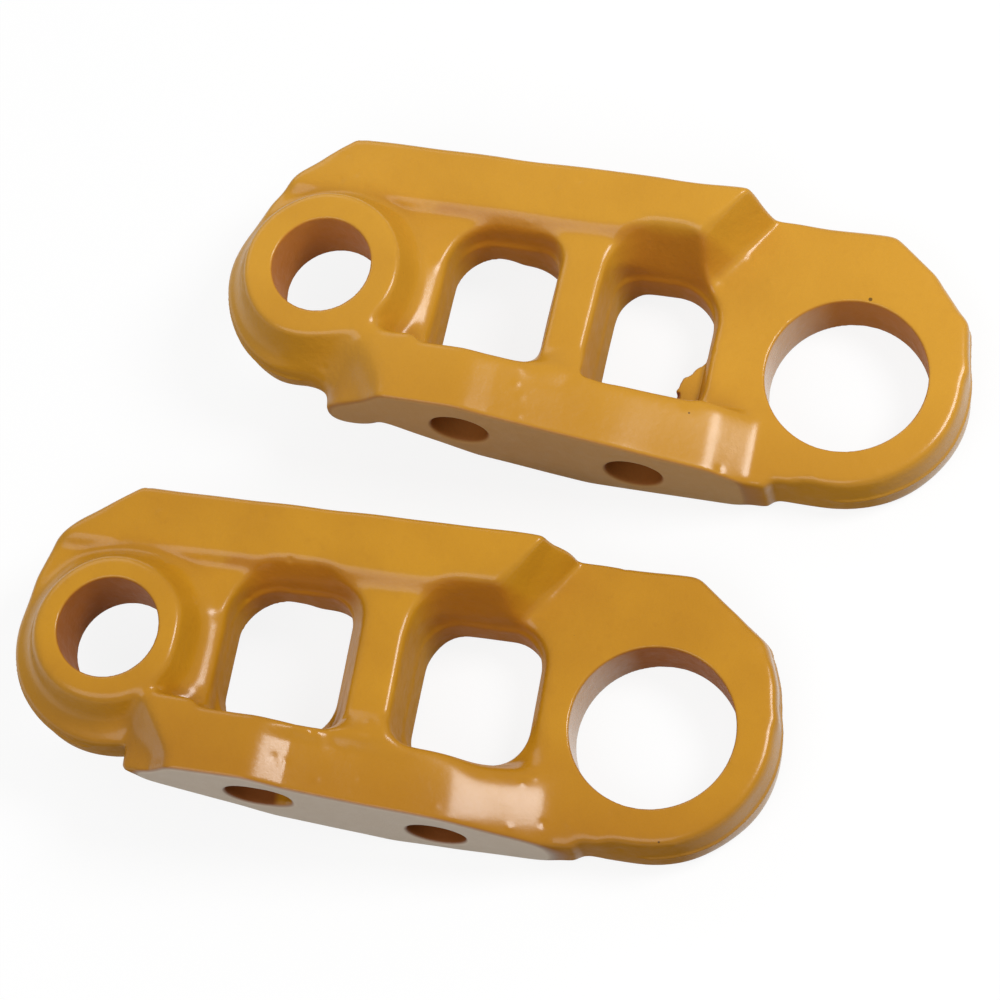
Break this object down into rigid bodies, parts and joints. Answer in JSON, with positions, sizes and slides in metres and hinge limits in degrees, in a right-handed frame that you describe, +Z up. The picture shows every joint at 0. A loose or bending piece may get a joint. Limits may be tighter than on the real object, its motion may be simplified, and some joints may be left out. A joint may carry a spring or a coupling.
{
  "type": "excavator track links",
  "caption": "Forged excavator track links with a pin boss, a bush end, a rail tread, a bolted shoe flange and windows for the shoe nuts; painted, loose, lying on their inner side.",
  "frame": {"origin": "middle of the pair's footprint, on the ground that both links lie on", "axes": "+X along the near link from its pin bore to its bush bore, +Y from the near link's shoe face to its rail tread and on to the far link, +Z up along the bores, away from the inner faces"},
  "size_m": [0.3194, 0.251, 0.057],
  "materials": {
    "link_paint": "thick glossy ochre yellow enamel over forged steel"
  },
  "bodies": {
    "near": {"near_link": "link_paint"},
    "far": {"far_link": "link_paint"}
  },
  "joints": [
    {"name": "far_link_lift", "type": "slide", "parent": "near", "child": "far", "axis": [0, 0, 1], "range_m": [0, 0.12]}
  ]
}
